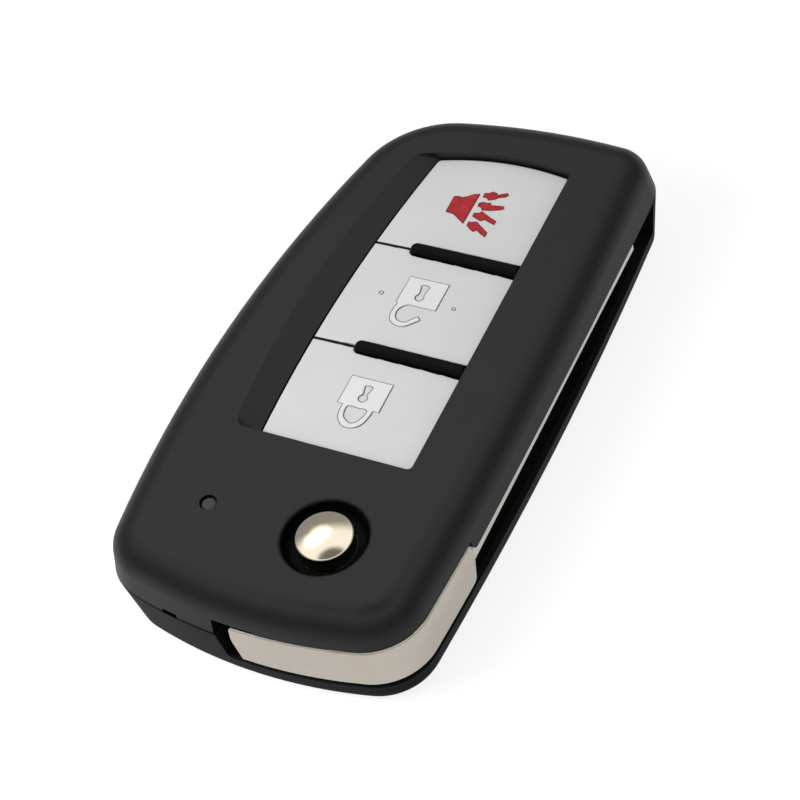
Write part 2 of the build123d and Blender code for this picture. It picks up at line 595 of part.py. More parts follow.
def head_body():
    """Head before its bores: flush with both shells outside, with its outer edges rounded."""
    outline = Pos(0, 0, SEAM_Z) * case_outline(HEAD_INSET)
    body = extrude(outline, amount=HEAD_TOP_Z - SEAM_Z, taper=FRONT_DRAFT)
    body += extrude(outline, amount=SEAM_Z - HEAD_BOTTOM_Z, dir=(0, 0, -1), taper=BASE_DRAFT)
    body &= slab(head_plan(), HEAD_BOTTOM_Z, HEAD_TOP_Z)
    body = fillet(edges_at(body, SEAM_Z), HEAD_CREASE_ROUND)
    heel = edges_at(body, HEAD_BOTTOM_Z).filter_by(Axis.X).sort_by(Axis.Y)[-1]
    body = fillet(heel, HEAD_HEEL_ROUND)
    heel_line = edges_at(body, HEAD_BOTTOM_Z).filter_by(Axis.X).sort_by(Axis.Y)[-1]
    rims = [edge for edge in edges_at(body, HEAD_BOTTOM_Z) + edges_at(body, HEAD_TOP_Z) if edge != heel_line]
    return fillet(rims, HEAD_EDGE_ROUND)


def flip_head():
    """Metal head that carries the blade and closes the corner of the case."""
    head = head_body()
    head -= rod(HINGE_X, HINGE_Y, HEAD_BORE_RADIUS, HEAD_FLOOR_Z, HEAD_TOP_Z + OVERCUT)
    head -= rod(HINGE_X, HINGE_Y, LOWER_PIN_RADIUS + JOURNAL_CLEARANCE, RIM_Z, HEAD_TOP_Z)
    head -= blade_root(TANG_FIT)
    head -= rod(PIN_X, PIN_Y, PIN_RADIUS, RIM_Z, HEAD_TOP_Z + OVERCUT)
    return one_solid(head)


def blade_root(grow=0.0):
    """Tang and shoulder of the blade inside the head."""
    low = BLADE_BOTTOM_Z - grow
    high = BLADE_BOTTOM_Z + BLADE_THICKNESS + grow
    root = block(TANG_LEFT_X - grow, TANG_RIGHT_X + grow, BLADE_SHOULDER_Y - TANG_LENGTH - grow, HEAD_END_Y, low, high)
    return root + block(BLADE_INNER_X - grow, BLADE_OUTER_X + grow, BLADE_SHOULDER_Y - grow, FAR_AWAY, low, high)


def key_blade():
    """Steel blade: straight sides, bevelled tip, guide grooves on both faces, and its tang."""
    high = BLADE_BOTTOM_Z + BLADE_THICKNESS
    outline = make_face(Polyline((BLADE_INNER_X, BLADE_SHOULDER_Y), (BLADE_OUTER_X, BLADE_SHOULDER_Y),
                                 (BLADE_OUTER_X, BLADE_TIP_Y - BLADE_OUTER_BEVEL),
                                 (BLADE_OUTER_X - BLADE_OUTER_BEVEL, BLADE_TIP_Y),
                                 (BLADE_INNER_X + BLADE_INNER_BEVEL, BLADE_TIP_Y),
                                 (BLADE_INNER_X, BLADE_TIP_Y - BLADE_INNER_BEVEL), close=True))
    outline = fillet(outline.vertices().sort_by(Axis.Y)[-2:], BLADE_TIP_ROUND)
    blade = slab(outline, BLADE_BOTTOM_Z, high)
    long_sides = blade.edges().filter_by(Axis.Y).filter_by(lambda edge: edge.length > BLADE_WIDTH)
    blade = chamfer(long_sides, BLADE_EDGE_ROUND)
    blade += block(TANG_LEFT_X, TANG_RIGHT_X, BLADE_SHOULDER_Y - TANG_LENGTH, HEAD_END_Y, BLADE_BOTTOM_Z, high)
    track_length = BLADE_TIP_Y + OVERCUT - GROOVE_START_Y
    for side, level in ((1, high), (-1, BLADE_BOTTOM_Z)):
        x = (BLADE_INNER_X + BLADE_OUTER_X + side * GROOVE_SPACING) / 2
        track = Pos(x, GROOVE_START_Y + track_length) * SlotOverall(2 * track_length, GROOVE_WIDTH, rotation=90)
        blade -= slab(track, level - GROOVE_DEPTH, level + GROOVE_DEPTH)
    blade -= rod(PIN_X, PIN_Y, PIN_RADIUS, BLADE_BOTTOM_Z - OVERCUT, high + OVERCUT)
    return one_solid(blade)


def blade_roll_pin():
    """Slit spring pin that holds the blade's tang in the head."""
    low = HEAD_BOTTOM_Z + PIN_END_GAP
    high = HEAD_TOP_Z - PIN_END_GAP
    pin = rod(0, 0, PIN_RADIUS, low, high) - rod(0, 0, PIN_RADIUS - PIN_WALL, low - OVERCUT, high + OVERCUT)
    pin -= block(0, FAR_AWAY, -PIN_SLIT / 2, PIN_SLIT / 2, low - OVERCUT, high + OVERCUT)
    return Pos(PIN_X, PIN_Y, 0) * one_solid(pin)


def release_button():
    """Domed metal button in the bowl."""
    ball = (BUTTON_RADIUS**2 + BUTTON_CROWN**2) / (2 * BUTTON_CROWN)
    top = BUTTON_RIM_Z + BUTTON_CROWN
    button = rod(BUTTON_X, BUTTON_Y, BUTTON_RADIUS, BUTTON_BOTTOM_Z, top)
    button &= Pos(BUTTON_X, BUTTON_Y, top - ball) * Sphere(ball)
    return one_solid(fillet(edges_at(button, BUTTON_RIM_Z), BUTTON_EDGE_ROUND))


def release_plunger():
    """Plunger under the button, coaxial with the hinge, with its spring flange."""
    flange_top = COLLAR_BOTTOM_Z - FLANGE_GAP
    plunger = rod(HINGE_X, HINGE_Y, PLUNGER_RADIUS, PLUNGER_BOTTOM_Z, BUTTON_BOTTOM_Z)
    plunger += rod(HINGE_X, HINGE_Y, FLANGE_RADIUS, flange_top - FLANGE_THICKNESS, flange_top)
    return one_solid(plunger)


def torsion_spring():
    """Coil that opens the head and lifts the plunger."""
    low = HEAD_FLOOR_Z + SPRING_WIRE / 2
    high = COLLAR_BOTTOM_Z - FLANGE_GAP - FLANGE_THICKNESS - SPRING_WIRE / 2
    path = Helix(pitch=(high - low) / SPRING_TURNS, height=high - low, radius=SPRING_RADIUS)
    section = Plane(origin=path @ 0, z_dir=path % 0) * Circle(SPRING_WIRE / 2)
    return Pos(HINGE_X, HINGE_Y, low) * one_solid(sweep(section, path=path, is_frenet=True))


def key_face(index, inset, corner=0.0):
    """One key seen from above: window outline between the key's splits, less the dividers."""
    low_y = KEY_ENDS_Y[index] + (KEY_SPLIT / 2 if index > 0 else -FAR_AWAY)
    high_y = KEY_ENDS_Y[index + 1] + (-KEY_SPLIT / 2 if index < 2 else FAR_AWAY)
    face = foot_face(inset, corner)
    face &= Pos(0, (low_y + high_y) / 2) * Rectangle(2 * FAR_AWAY, high_y - low_y)
    for split in KEY_SPLITS_Y:
        face -= divider_outline(split, DIVIDER_GAP)
    return face


def key_cap(index):
    """Painted key cap with its retaining flange and post."""
    cap = slab(key_face(index, KEY_GAP, WINDOW_CORNER), KEY_FLANGE_BOTTOM_Z, CASE_HEIGHT)
    cap &= Pos(KEY_POST_X, 0, KEY_TOP_Z - KEY_CROWN_RADIUS) * Rot(90, 0, 0) * Cylinder(KEY_CROWN_RADIUS, 4 * FAR_AWAY)
    half_way = (KEY_FLANGE_BOTTOM_Z + KEY_TOP_Z) / 2
    top_edges = cap.edges().filter_by(lambda edge: edge.bounding_box().min.Z > half_way)
    cap = fillet(top_edges, KEY_EDGE_ROUND)
    flange = key_face(index, -KEY_FLANGE_REACH, WINDOW_CORNER)
    cap += slab(flange, KEY_FLANGE_BOTTOM_Z, KEY_FLANGE_BOTTOM_Z + KEY_FLANGE_THICKNESS)
    cap += rod(KEY_POST_X, KEY_POST_YS[index], KEY_POST_RADIUS, STEM_TOP_Z, KEY_FLANGE_BOTTOM_Z + EMBED)
    return one_solid(cap)


def keypad_mat():
    """Silicone mat under the keys, with the two raised dividers."""
    plate = slab(foot_face(-MAT_REACH), MAT_BOTTOM_Z, MAT_BOTTOM_Z + MAT_THICKNESS)
    for post_y in KEY_POST_YS:
        plate -= rod(KEY_POST_X, post_y, KEY_POST_RADIUS + POST_CLEARANCE, 0, FAR_AWAY)
    for split in KEY_SPLITS_Y:
        ridge = slab(divider_outline(split), MAT_BOTTOM_Z, DIVIDER_TOP_Z)
        plate += fillet(edges_at(ridge, DIVIDER_TOP_Z), DIVIDER_ROUND)
    return one_solid(plate)


def board_clearance():
    """What the board and its frame leave free: the head's sweep and the blade channel."""
    sweep = Pos(HINGE_X, HINGE_Y) * Circle(SWEEP_RADIUS + BOARD_SWEEP_GAP)
    corner = Pos(HINGE_X + FAR_AWAY / 2, HINGE_Y - FAR_AWAY / 2) * Rectangle(FAR_AWAY, FAR_AWAY)
    return sweep + corner + Pos(CHANNEL_WALL_X + FAR_AWAY, 0) * Rectangle(2 * FAR_AWAY, 4 * FAR_AWAY)


def circuit_board():
    """Printed circuit board."""
    board = slab(case_outline(LOWER_WALL + BOARD_WALL_GAP) - board_clearance(), BOARD_BOTTOM_Z, CHIP_Z)
    for x, y in BOARD_POSTS:
        board -= rod(x, y, BOARD_HOLE_RADIUS, 0, FAR_AWAY)
    return one_solid(board)


def board_frame():
    """Moulded frame that carries the mat on the board."""
    frame = slab(foot_face(-MAT_REACH) - board_clearance(), FRAME_BOTTOM_Z, MAT_BOTTOM_Z)
    for post_y in KEY_POST_YS:
        frame -= rod(KEY_POST_X, post_y, KEY_POST_RADIUS + POST_CLEARANCE, 0, FAR_AWAY)
        for x in FRAME_LEGS_X:
            frame += rod(x, post_y, FRAME_LEG / 2, CHIP_Z, FRAME_BOTTOM_Z + EMBED)
    for x, y in BOARD_POSTS:
        frame -= rod(x, y, POST_RADIUS + POST_FIT, 0, FAR_AWAY)
    return one_solid(frame)


def switch_housing(post_y):
    """Low push switch on the board."""
    body = Pos(KEY_POST_X, post_y, CHIP_Z + SWITCH_HEIGHT / 2) * Box(SWITCH_SIZE, SWITCH_SIZE, SWITCH_HEIGHT)
    body = chamfer(body.edges().filter_by(Axis.Z), SWITCH_CORNER)
    return one_solid(body - rod(KEY_POST_X, post_y, STEM_RADIUS + STEM_GAP, CHIP_Z + SWITCH_FLOOR, FAR_AWAY))


def switch_stem(post_y):
    """Moving stem of one switch."""
    return one_solid(rod(KEY_POST_X, post_y, STEM_RADIUS, STEM_BOTTOM_Z, STEM_TOP_Z))


def coin_cell():
    """Lithium coin cell: wide can below, smaller cap above."""
    top = FLOOR + CELL_THICKNESS
    can = rod(CELL_X, CELL_Y, CELL_RADIUS, FLOOR, top - CELL_CAP_STEP)
    can = fillet(edges_at(can, FLOOR), CELL_EDGE_ROUND)
    return one_solid(can + rod(CELL_X, CELL_Y, CELL_RADIUS - CELL_CAP_INSET, top - 2 * CELL_CAP_STEP, top))


def negative_contact():
    """Leaf spring from the board down to the cell's cap."""
    cap = FLOOR + CELL_THICKNESS
    under = BOARD_BOTTOM_Z - CONTACT_THICKNESS
    foot_near, foot_far = CONTACT_FOOT_YS
    pad_near, pad_far = CONTACT_PAD_YS
    profile = make_face(Polyline((foot_near, BOARD_BOTTOM_Z), (foot_near, under), (foot_far, under),
                                 (pad_near, cap), (pad_far, cap), (pad_far, cap + CONTACT_THICKNESS),
                                 (pad_near + CONTACT_THICKNESS / 2, cap + CONTACT_THICKNESS),
                                 (foot_far + 4 * CONTACT_THICKNESS, BOARD_BOTTOM_Z), close=True))
    return one_solid(extrude(Pos(CELL_X, 0, 0) * (Plane.YZ * profile), amount=CONTACT_WIDTH / 2, both=True))


def positive_contact():
    """Clip from the board down the far side of the cell."""
    low_x = CELL_X - CLIP_WIDTH / 2
    high_x = CELL_X + CLIP_WIDTH / 2
    edge_y = CELL_Y + CELL_RADIUS
    leaf = block(low_x, high_x, edge_y, edge_y + CONTACT_THICKNESS, FLOOR + CLIP_LIFT, BOARD_BOTTOM_Z)
    foot = block(low_x, high_x, edge_y, edge_y + CLIP_REACH, BOARD_BOTTOM_Z - CONTACT_THICKNESS, BOARD_BOTTOM_Z)
    return one_solid(leaf + foot)


def indicator_led():
    """Surface-mounted lamp under the light pipe."""
    base = Pos(LED_X, LED_Y, CHIP_Z + LED_HEIGHT / 4) * Box(LED_WIDTH, LED_LENGTH, LED_HEIGHT / 2)
    return one_solid(base + Pos(LED_X, LED_Y, CHIP_Z + LED_HEIGHT / 2) * Box(LED_WIDTH, LED_LENS_LENGTH, LED_HEIGHT))


def light_pipe():
    """Clear rod that carries the lamp's light to the top of the case."""
    low = CHIP_Z + LED_HEIGHT + PIPE_END_GAP
    pipe = rod(LED_X, LED_Y, PIPE_RADIUS, low, PIPE_TOP_Z)
    return one_solid(pipe + rod(LED_X, LED_Y, PIPE_FLANGE_RADIUS, low, low + PIPE_FLANGE_THICKNESS))


def transponder():
    """Immobiliser transponder block."""
    body = Pos(TRANSPONDER_X, TRANSPONDER_Y, FLOOR + TRANSPONDER_HEIGHT / 2) * Box(
        TRANSPONDER_WIDTH, TRANSPONDER_LENGTH, TRANSPONDER_HEIGHT)
    return one_solid(chamfer(body.edges().filter_by(Axis.Z), TRANSPONDER_CORNER))


def chip(y, size_x, size_y, height):
    """Flat electronic package on the board, beside the frame."""
    return one_solid(Pos(CHIP_RIGHT_X - size_x / 2, y, CHIP_Z + height / 2) * Box(size_x, size_y, height))


def pieces():
    """Every piece of the key, by name."""
    made = {
        "front_shell": front_shell(),
        "back_shell": back_shell(),
        "flip_head": flip_head(),
        "key_blade": key_blade(),
        "blade_roll_pin": blade_roll_pin(),
        "release_button": release_button(),
        "release_plunger": release_plunger(),
        "torsion_spring": torsion_spring(),
        "keypad_mat": keypad_mat(),
        "board_frame": board_frame(),
        "circuit_board": circuit_board(),
        "coin_cell": coin_cell(),
        "negative_contact": negative_contact(),
        "positive_contact": positive_contact(),
        "indicator_led": indicator_led(),
        "light_pipe": light_pipe(),
        "transponder": transponder(),
        "microcontroller": chip(y=7.5, size_x=5.0, size_y=4.4, height=1.0),
        "radio_chip": chip(y=16.5, size_x=3.0, size_y=3.0, height=0.9),
        "resonator": chip(y=22.0, size_x=2.8, size_y=3.2, height=1.2),
        "crystal": chip(y=1.0, size_x=3.2, size_y=2.5, height=0.8),
        "capacitors": Compound([chip(y=TRANSPONDER_Y + 2.6 * step, size_x=1.6, size_y=0.8, height=0.7)
                                for step in range(4)]),
    }
    for index, name in enumerate(("lock", "unlock", "panic")):
        made[name + "_button"] = key_cap(index)
        made[name + "_switch"] = switch_housing(KEY_POST_YS[index])
        made[name + "_switch_stem"] = switch_stem(KEY_POST_YS[index])
    return made


def main():
    os.makedirs("parts", exist_ok=True)
    for name, piece in pieces().items():
        export_step(piece, "parts/" + name + ".step")
        print(name, round(piece.volume, 2))


main()
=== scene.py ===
import math

import bmesh
import bpy
from mathutils import Matrix, Vector


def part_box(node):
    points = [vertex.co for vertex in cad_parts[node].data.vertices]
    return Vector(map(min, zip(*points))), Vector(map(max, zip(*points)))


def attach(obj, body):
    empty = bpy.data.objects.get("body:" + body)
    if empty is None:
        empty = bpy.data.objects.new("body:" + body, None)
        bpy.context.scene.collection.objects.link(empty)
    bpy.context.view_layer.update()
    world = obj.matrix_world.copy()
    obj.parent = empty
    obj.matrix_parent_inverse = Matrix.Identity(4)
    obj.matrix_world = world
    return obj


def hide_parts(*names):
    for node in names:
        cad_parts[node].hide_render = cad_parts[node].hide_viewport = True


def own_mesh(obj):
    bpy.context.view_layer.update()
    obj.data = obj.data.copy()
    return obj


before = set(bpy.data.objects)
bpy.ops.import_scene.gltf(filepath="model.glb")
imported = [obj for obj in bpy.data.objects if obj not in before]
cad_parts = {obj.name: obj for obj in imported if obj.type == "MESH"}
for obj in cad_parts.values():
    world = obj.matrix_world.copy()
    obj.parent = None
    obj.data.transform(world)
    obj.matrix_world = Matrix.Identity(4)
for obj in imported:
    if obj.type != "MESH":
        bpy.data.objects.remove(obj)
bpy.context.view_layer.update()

# Lengths are in millimetres and scaled by MM where Blender takes them.
MM = 0.001

# Case features that the materials follow
SEAM_Z = 8.5
BOWL_CENTER = (5.6, -24.65)

# Key caps: height of the crown's top, its radius and the place of its ridge
KEY_TOP = 13.15
KEY_CROWN = 190.0
KEY_MIDDLE = 1.2


# Material nodes

# Texture values between which a colour or a roughness goes from its low end to its high end
TEXTURE_LOW = 0.3
TEXTURE_HIGH = 0.7


def new_material(name):
    """Empty node material, its node tree and its shader."""
    mat = bpy.data.materials.new(name)
    mat.use_nodes = True
    tree = mat.node_tree
    tree.nodes.clear()
    out = tree.nodes.new("ShaderNodeOutputMaterial")
    shader = tree.nodes.new("ShaderNodeBsdfPrincipled")
    tree.links.new(shader.outputs["BSDF"], out.inputs["Surface"])
    return mat, tree, shader


def shader_of(mat):
    """Shader node of a material."""
    return next(node for node in mat.node_tree.nodes if node.type == "BSDF_PRINCIPLED")


def coordinate(tree, kind):
    """Place or direction on the object."""
    return tree.nodes.new("ShaderNodeTexCoord").outputs[kind]


def height_of(tree, vector):
    """Upward part of a vector."""
    parts = tree.nodes.new("ShaderNodeSeparateXYZ")
    tree.links.new(vector, parts.inputs[0])
    return parts.outputs["Z"]


def feed(tree, socket, value):
    """Give a node's input a number, a vector or another node's output."""
    if isinstance(value, bpy.types.NodeSocket):
        tree.links.new(value, socket)
    else:
        socket.default_value = value


def math_node(tree, operation, *values):
    """Result of a sum of numbers."""
    node = tree.nodes.new("ShaderNodeMath")
    node.operation = operation
    for socket, value in zip(node.inputs, values):
        feed(tree, socket, value)
    return node.outputs[0]


def vector_node(tree, operation, output, *values):
    """Vector or Value of a sum of vectors."""
    node = tree.nodes.new("ShaderNodeVectorMath")
    node.operation = operation
    for socket, value in zip(node.inputs, values):
        feed(tree, socket, value)
    return node.outputs[output]


def map_range(tree, value, start, end, low, high, kind="LINEAR"):
    """Number from low to high as the value goes from start to end."""
    node = tree.nodes.new("ShaderNodeMapRange")
    node.interpolation_type = kind
    for name, number in (("From Min", start), ("From Max", end), ("To Min", low), ("To Max", high)):
        node.inputs[name].default_value = number
    tree.links.new(value, node.inputs["Value"])
    return node.outputs["Result"]


def step(tree, value, start, end, low, high):
    """Smooth step from low to high as the value goes from start to end."""
    return map_range(tree, value, start, end, low, high, "SMOOTHSTEP")


def noise(tree, scale, detail, rough, stretch):
    """Noise over the object's own metres, stretched along the axes."""
    mapping = tree.nodes.new("ShaderNodeMapping")
    mapping.inputs["Scale"].default_value = stretch
    tex = tree.nodes.new("ShaderNodeTexNoise")
    tex.inputs["Scale"].default_value = scale
    tex.inputs["Detail"].default_value = detail
    tex.inputs["Roughness"].default_value = rough
    tree.links.new(coordinate(tree, "Object"), mapping.inputs["Vector"])
    tree.links.new(mapping.outputs["Vector"], tex.inputs["Vector"])
    return tex.outputs["Fac"]


def ramp(tree, source, low, high):
    """Colour between two values, following a texture."""
    node = tree.nodes.new("ShaderNodeValToRGB")
    ends = node.color_ramp.elements
    ends[0].position, ends[1].position = TEXTURE_LOW, TEXTURE_HIGH
    ends[0].color, ends[1].color = (*low, 1), (*high, 1)
    tree.links.new(source, node.inputs["Fac"])
    return node.outputs["Color"]


def bump(tree, shader, source, height, strength):
    """Fine relief on the shader's normal."""
    node = tree.nodes.new("ShaderNodeBump")
    node.inputs["Strength"].default_value = strength
    node.inputs["Distance"].default_value = height
    tree.links.new(source, node.inputs["Height"])
    tree.links.new(node.outputs["Normal"], shader.inputs["Normal"])


def recolor(mat, color, factor):
    """One colour where the factor is 0, going over to the material's own where it is 1."""
    tree, shader = mat.node_tree, shader_of(mat)
    own = shader.inputs["Base Color"].links[0].from_socket
    mix = tree.nodes.new("ShaderNodeMix")
    mix.data_type = "RGBA"
    mix.inputs["A"].default_value = (*color, 1)
    tree.links.new(factor, mix.inputs["Factor"])
    tree.links.new(own, mix.inputs["B"])
    tree.links.new(mix.outputs["Result"], shader.inputs["Base Color"])


# Materials

# Detail and roughness of the broad noise in the colour and of the fine one in gloss and relief
BROAD_DETAIL, BROAD_ROUGH = 4.0, 0.55
FINE_DETAIL, FINE_ROUGH = 2.0, 0.6
EVEN = (1, 1, 1)

# Dark colour on the key caps' sides: painted shade for the gaps between the caps
GAP_SHADE = (0.03, 0.03, 0.03)
# Upward part of the normal below which a key cap's side gets painted shade, and above which it
# keeps its silver
SHADED_BELOW, SILVER_ABOVE = 0.1, 0.55

# A symbol's line gets painted shade on the flank that faces the far right and a painted highlight
# on the other one, as if lit from the near left. The last two tell how far a flank faces the shaded
# way where it is lit and where it is shaded.
LIT_FLANK = (0.62, 0.62, 0.615)
SHADED_WAY = (0.7, 0.7, 0)
LIT_AT, SHADED_AT = -0.45, 0.2

# Shares of gloss and colour that the painted shade keeps in the button's bowl and along the shells'
# seam
BOWL_SHARE = 0.08
SEAM_SHARE = 0.03
# Distances from the button's axis at which the bowl's painted shade starts to fade and has faded
BOWL_INNER, BOWL_OUTER = 4.3, 4.95
# Reach of the seam's painted shade on each shell, and the shares of it where it starts to fade and
# ends
UPPER_REACH, LOWER_REACH = 0.2, 0.3
SEAM_CORE, SEAM_FADE = 0.6, 1.4
# Depths under the seam at which the lower shell's rounded rim starts and is full
RIM_START, RIM_FULL = 0.37, 0.26


def surface(name, color, roughness, metallic=0.0, vary=0.12, patch=180.0, grain=9000.0, relief=0.02,
            strength=0.25, rough_vary=0.05, specular=0.5, stretch=EVEN, coat=0.0, coat_rough=0.1):
    """Material with uneven colour and gloss and a fine grain, its relief in millimetres."""
    mat, tree, shader = new_material(name)
    low = tuple(c * (1 - vary) for c in color)
    high = tuple(min(1.0, c * (1 + vary)) for c in color)
    broad = noise(tree, patch, BROAD_DETAIL, BROAD_ROUGH, EVEN)
    fine = noise(tree, grain, FINE_DETAIL, FINE_ROUGH, stretch)
    dullness = map_range(tree, fine, TEXTURE_LOW, TEXTURE_HIGH,
                         roughness - rough_vary, roughness + rough_vary)
    tree.links.new(ramp(tree, broad, low, high), shader.inputs["Base Color"])
    tree.links.new(dullness, shader.inputs["Roughness"])
    shader.inputs["Metallic"].default_value = metallic
    shader.inputs["Specular IOR Level"].default_value = specular
    shader.inputs["Coat Weight"].default_value = coat
    shader.inputs["Coat Roughness"].default_value = coat_rough
    bump(tree, shader, fine, relief * MM, strength)
    return mat


def shaded_sides(mat):
    """Painted shade on a cap's sides, where the gaps between caps lie, told by the direction that
    the surface faces.
    """
    tree = mat.node_tree
    upward = height_of(tree, coordinate(tree, "Normal"))
    recolor(mat, GAP_SHADE, map_range(tree, upward, SHADED_BELOW, SILVER_ABOVE, 0.0, 1.0))


def painted_flank_light(mat):
    """Painted highlight on one flank of a raised line, over the painted shade of its own colour."""
    tree = mat.node_tree
    facing = vector_node(tree, "DOT_PRODUCT", "Value", coordinate(tree, "Normal"), SHADED_WAY)
    recolor(mat, LIT_FLANK, step(tree, facing, LIT_AT, SHADED_AT, 0.0, 1.0))


def bowl_shade(mat):
    """Painted shade in the button's bowl: share of gloss and colour kept, low inside the bowl and 1
    outside it.
    """
    tree = mat.node_tree
    flat = vector_node(tree, "MULTIPLY", "Vector", coordinate(tree, "Object"), (1, 1, 0))
    center = (BOWL_CENTER[0] * MM, BOWL_CENTER[1] * MM, 0)
    away = vector_node(tree, "DISTANCE", "Value", flat, center)
    return step(tree, away, BOWL_INNER * MM, BOWL_OUTER * MM, BOWL_SHARE, 1.0)


def seam_shade(mat, reach):
    """Painted shade along the shells' seam: share of gloss and colour kept, low at the seam and 1
    away from it.
    """
    tree = mat.node_tree
    above = math_node(tree, "SUBTRACT", height_of(tree, coordinate(tree, "Object")), SEAM_Z * MM)
    off = math_node(tree, "ABSOLUTE", above)
    return step(tree, off, reach * MM * SEAM_CORE, reach * MM * SEAM_FADE, SEAM_SHARE, 1.0)


def darken(mat, share):
    """Painted shade: gloss and colour scaled by the share."""
    mat.node_tree.links.new(share, shader_of(mat).inputs["Specular Tint"])
    recolor(mat, (0, 0, 0), share)


def rounded_rim(mat):
    """Normal that leans up just under the seam, as on a small rounding."""
    tree, shader = mat.node_tree, shader_of(mat)
    plain = shader.inputs["Normal"].links[0].from_socket
    height = height_of(tree, coordinate(tree, "Object"))
    lean = tree.nodes.new("ShaderNodeCombineXYZ")
    upward = step(tree, height, (SEAM_Z - RIM_START) * MM, (SEAM_Z - RIM_FULL) * MM, 0.0, 1.0)
    tree.links.new(upward, lean.inputs["Z"])
    total = vector_node(tree, "ADD", "Vector", plain, lean.outputs[0])
    tree.links.new(vector_node(tree, "NORMALIZE", "Vector", total), shader.inputs["Normal"])


shell_black = surface("shell_black", (0.0074, 0.0075, 0.0085), 0.4, vary=0.08, grain=14000,
                      relief=0.012, strength=0.3, specular=0.38)
# Painted shade in the button's bowl and along the seam on the upper shell
darken(shell_black, math_node(shell_black.node_tree, "MULTIPLY", bowl_shade(shell_black),
                              seam_shade(shell_black, UPPER_REACH)))
base_black = surface("base_black", (0.0135, 0.0137, 0.0155), 0.48, vary=0.08, grain=14000,
                     relief=0.012, strength=0.3, specular=0.04)
# Painted shade along the seam on the lower shell
darken(base_black, seam_shade(base_black, LOWER_REACH))
rounded_rim(base_black)
key_silver = surface("key_silver", (0.69, 0.69, 0.685), 0.42, vary=0.02, grain=22000,
                     relief=0.006, strength=0.2, coat=0.1, coat_rough=0.3)
# Painted shade on the key caps' sides
shaded_sides(key_silver)
silicone = surface("silicone", (0.0025, 0.0025, 0.003), 0.5, vary=0.1, relief=0.01, specular=0.1)
cap_chrome = surface("cap_chrome", (0.87, 0.78, 0.61), 0.1, metallic=1.0, vary=0.02,
                     rough_vary=0.03, grain=2500, relief=0.004, strength=0.1)
head_nickel = surface("head_nickel", (0.735, 0.668, 0.582), 0.36, metallic=1.0, vary=0.03,
                      relief=0.004, strength=0.2, stretch=(0.15, 0.15, 1.0))
blade_steel = surface("blade_steel", (0.86, 0.81, 0.74), 0.28, metallic=1.0, vary=0.03, grain=7000,
                      relief=0.004, strength=0.1, stretch=(1.0, 0.06, 1.0))
wire_steel = surface("wire_steel", (0.5, 0.5, 0.52), 0.3, metallic=1.0, vary=0.06)
inner_black = surface("inner_black", (0.03, 0.03, 0.032), 0.5, vary=0.1)
laminate = surface("laminate", (0.02, 0.13, 0.05), 0.35, vary=0.25, patch=900)
cell_steel = surface("cell_steel", (0.66, 0.66, 0.67), 0.25, metallic=1.0, vary=0.04)
bronze = surface("bronze", (0.72, 0.6, 0.38), 0.3, metallic=1.0, vary=0.05)
smoked = surface("smoked", (0.018, 0.022, 0.03), 0.22, vary=0.1, specular=0.35)
epoxy = surface("epoxy", (0.03, 0.03, 0.031), 0.45, vary=0.1)
ceramic = surface("ceramic", (0.5, 0.38, 0.24), 0.4, vary=0.1)
can = surface("can", (0.7, 0.7, 0.7), 0.3, metallic=1.0, vary=0.04)
symbol_plate = surface("symbol_plate", (0.8, 0.8, 0.795), 0.4, vary=0.02, grain=22000,
                       relief=0.004, strength=0.15)
# Symbol lines: the dark colour is painted shade on the flank that faces the far right, and the pale
# one a painted highlight on the other flank
symbol_line_light_and_shade = surface("symbol_line_light_and_shade", (0.05, 0.05, 0.05), 0.5, vary=0.2, patch=2500)
painted_flank_light(symbol_line_light_and_shade)
panic_red = surface("panic_red", (0.41, 0.016, 0.022), 0.4, vary=0.25, patch=900, specular=0.35)
# Dark red line round the panic symbol's shapes: painted shade along their edges
panic_edge_shade = surface("panic_edge_shade", (0.19, 0.003, 0.008), 0.5, vary=0.25, patch=1500)

# Nodes not named here are inner plastic.
LOOKS = {
    "front_shell": shell_black, "back_shell": base_black, "keypad_mat": silicone,
    "lock_button": key_silver, "unlock_button": key_silver, "panic_button": key_silver,
    "release_button": cap_chrome, "flip_head": head_nickel, "key_blade": blade_steel,
    "blade_roll_pin": wire_steel, "torsion_spring": wire_steel, "circuit_board": laminate,
    "coin_cell": cell_steel, "negative_contact": bronze, "positive_contact": bronze,
    "indicator_led": ceramic, "light_pipe": smoked, "transponder": epoxy,
    "microcontroller": epoxy, "radio_chip": epoxy, "resonator": can, "crystal": can,
    "capacitors": ceramic, "lock_switch": epoxy, "unlock_switch": epoxy, "panic_switch": epoxy,
}
for name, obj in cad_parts.items():
    obj.data.materials.clear()
    obj.data.materials.append(LOOKS.get(name, inner_black))


# Symbols on the key caps

# Points that a rounded line gets for each one given
SMOOTH_STEPS = 4
# Heights over the cap: a plate's sunk foot and its top, the foot of a line, and the tops of lines
PLATE_FOOT, PLATE_TOP = -0.02, 0.06
LINE_FOOT, LINE_TOP, RED_LINE_TOP, DOT_TOP = -0.03, 0.066, 0.075, 0.04
LINE_WIDTH, HORN_LINE_WIDTH, BOLT_LINE_WIDTH, DOT_LINE_WIDTH = 0.2, 0.16, 0.15, 0.2
# Share of a line's width that is flat on top
LINE_FLAT, DOT_FLAT = 0.5, 0.4
# The two dots beside the open lock: x, y and radius
DOTS = [(-3.27, 7.2, 0.24), (5.45, 7.23, 0.2)]
DOT_POINTS = 12
# Half the thickness that a plate has before its top and foot get their heights
PLATE_HALF = 0.5
# Distances within which points are joined, in a plate's millimetres and in a line's metres
PLATE_WELD, LINE_WELD = 1e-5, 1e-8


def on_key(x, y, lift):
    """Point on a crowned key cap, raised by lift."""
    crown = (x - KEY_MIDDLE)**2 / (2 * KEY_CROWN)
    return Vector((x * MM, y * MM, (KEY_TOP - crown + lift) * MM))


